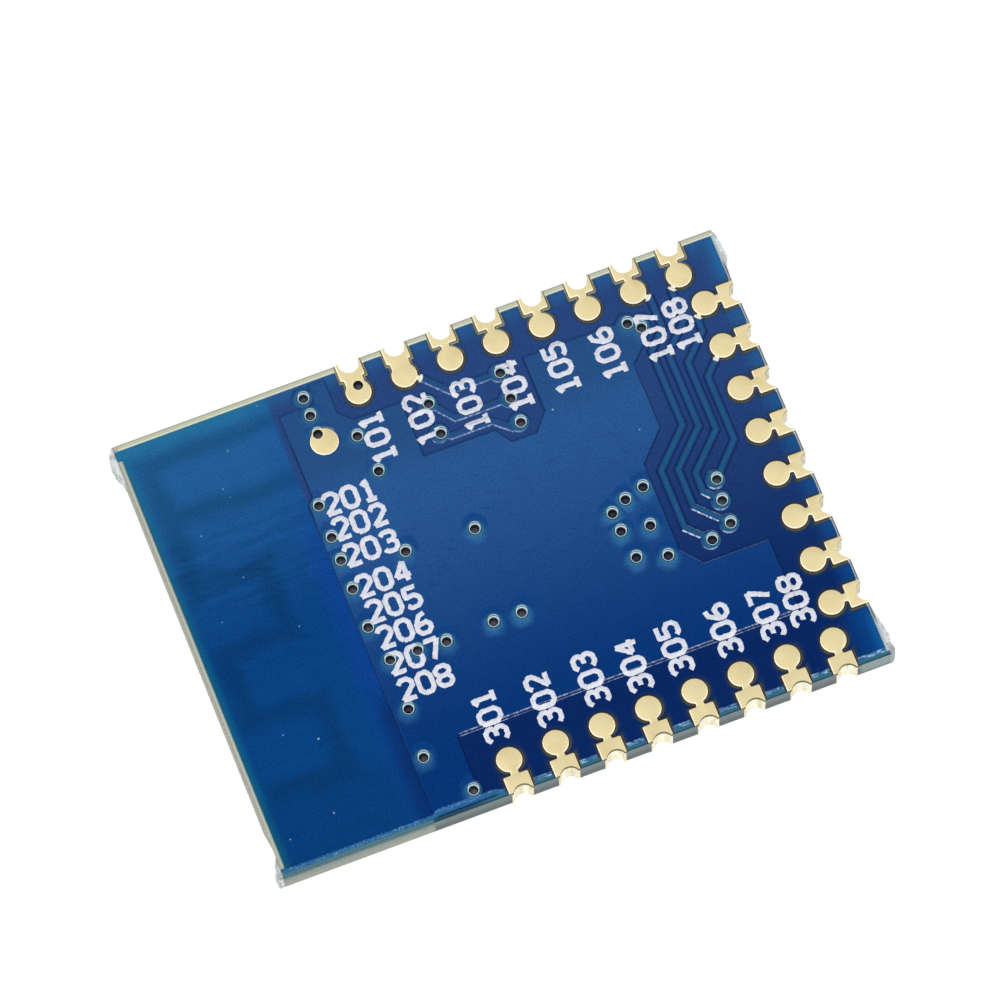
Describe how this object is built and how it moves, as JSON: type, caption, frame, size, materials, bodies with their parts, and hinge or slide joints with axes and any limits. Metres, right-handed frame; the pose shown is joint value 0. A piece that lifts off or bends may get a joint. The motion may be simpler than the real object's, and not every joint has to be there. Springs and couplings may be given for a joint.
{
  "type": "short-range radio module",
  "caption": "Small flat radio circuit board: a bare antenna end, plated half-hole pads along its other edges, and a chip, crystals and small parts on the component side.",
  "frame": {"origin": "centre of the plan, on the plane of the chip and crystal faces that it rests on", "axes": "+X from the antenna end to the pad column, +Y across to the upper pad row, +Z out of the solder side"},
  "size_m": [0.02, 0.0148, 0.0018],
  "materials": {
    "laminate": "woven glass and resin, cut edges dull and pale",
    "solder_mask": "glossy blue film with fine scratches and dust",
    "copper": "plain copper under the film",
    "gold_plate": "pale gold flash, satin",
    "solder": "bright reflowed solder",
    "chip_resin": "moulded, fine grain",
    "tin_plate": "dull tin",
    "crystal_ceramic": "fired ceramic",
    "lid_metal": "plated lid, satin",
    "capacitor_ceramic": "fired ceramic, tin ends",
    "inductor_ceramic": "fired ceramic, tin ends",
    "resistor_coat": "black coat, tin ends"
  },
  "bodies": {
    "root": {"board": "laminate", "solder_side_mask": "solder_mask", "component_side_mask": "solder_mask", "ground_pour": "copper", "signal_traces": "copper", "component_side_copper": "copper", "antenna_trace": "copper", "via_barrels": "gold_plate", "test_pad": "gold_plate", "solder_joints": "solder", "chip_body": "chip_resin", "chip_terminals": "tin_plate", "crystal_base": "crystal_ceramic", "crystal_lid": "lid_metal", "clock_crystal_base": "crystal_ceramic", "clock_crystal_lid": "lid_metal", "pad_01": "gold_plate", "pad_02": "gold_plate", "pad_03": "gold_plate", "pad_04": "gold_plate", "pad_05": "gold_plate", "pad_06": "gold_plate", "pad_07": "gold_plate", "pad_08": "gold_plate", "pad_09": "gold_plate", "pad_10": "gold_plate", "pad_11": "gold_plate", "pad_12": "gold_plate", "pad_13": "gold_plate", "pad_14": "gold_plate", "pad_15": "gold_plate", "pad_16": "gold_plate", "pad_17": "gold_plate", "pad_18": "gold_plate", "pad_19": "gold_plate", "pad_20": "gold_plate", "pad_21": "gold_plate", "pad_22": "gold_plate", "pad_23": "gold_plate", "pad_24": "gold_plate", "capacitor_01": "capacitor_ceramic", "capacitor_02": "capacitor_ceramic", "capacitor_03": "capacitor_ceramic", "capacitor_04": "capacitor_ceramic", "capacitor_05": "capacitor_ceramic", "capacitor_06": "capacitor_ceramic", "capacitor_07": "capacitor_ceramic", "capacitor_08": "capacitor_ceramic", "capacitor_09": "capacitor_ceramic", "capacitor_10": "capacitor_ceramic", "capacitor_11": "capacitor_ceramic", "inductor_01": "inductor_ceramic", "inductor_02": "inductor_ceramic", "inductor_03": "inductor_ceramic", "resistor_01": "resistor_coat", "resistor_02": "resistor_coat", "resistor_03": "resistor_coat"}
  },
  "joints": []
}
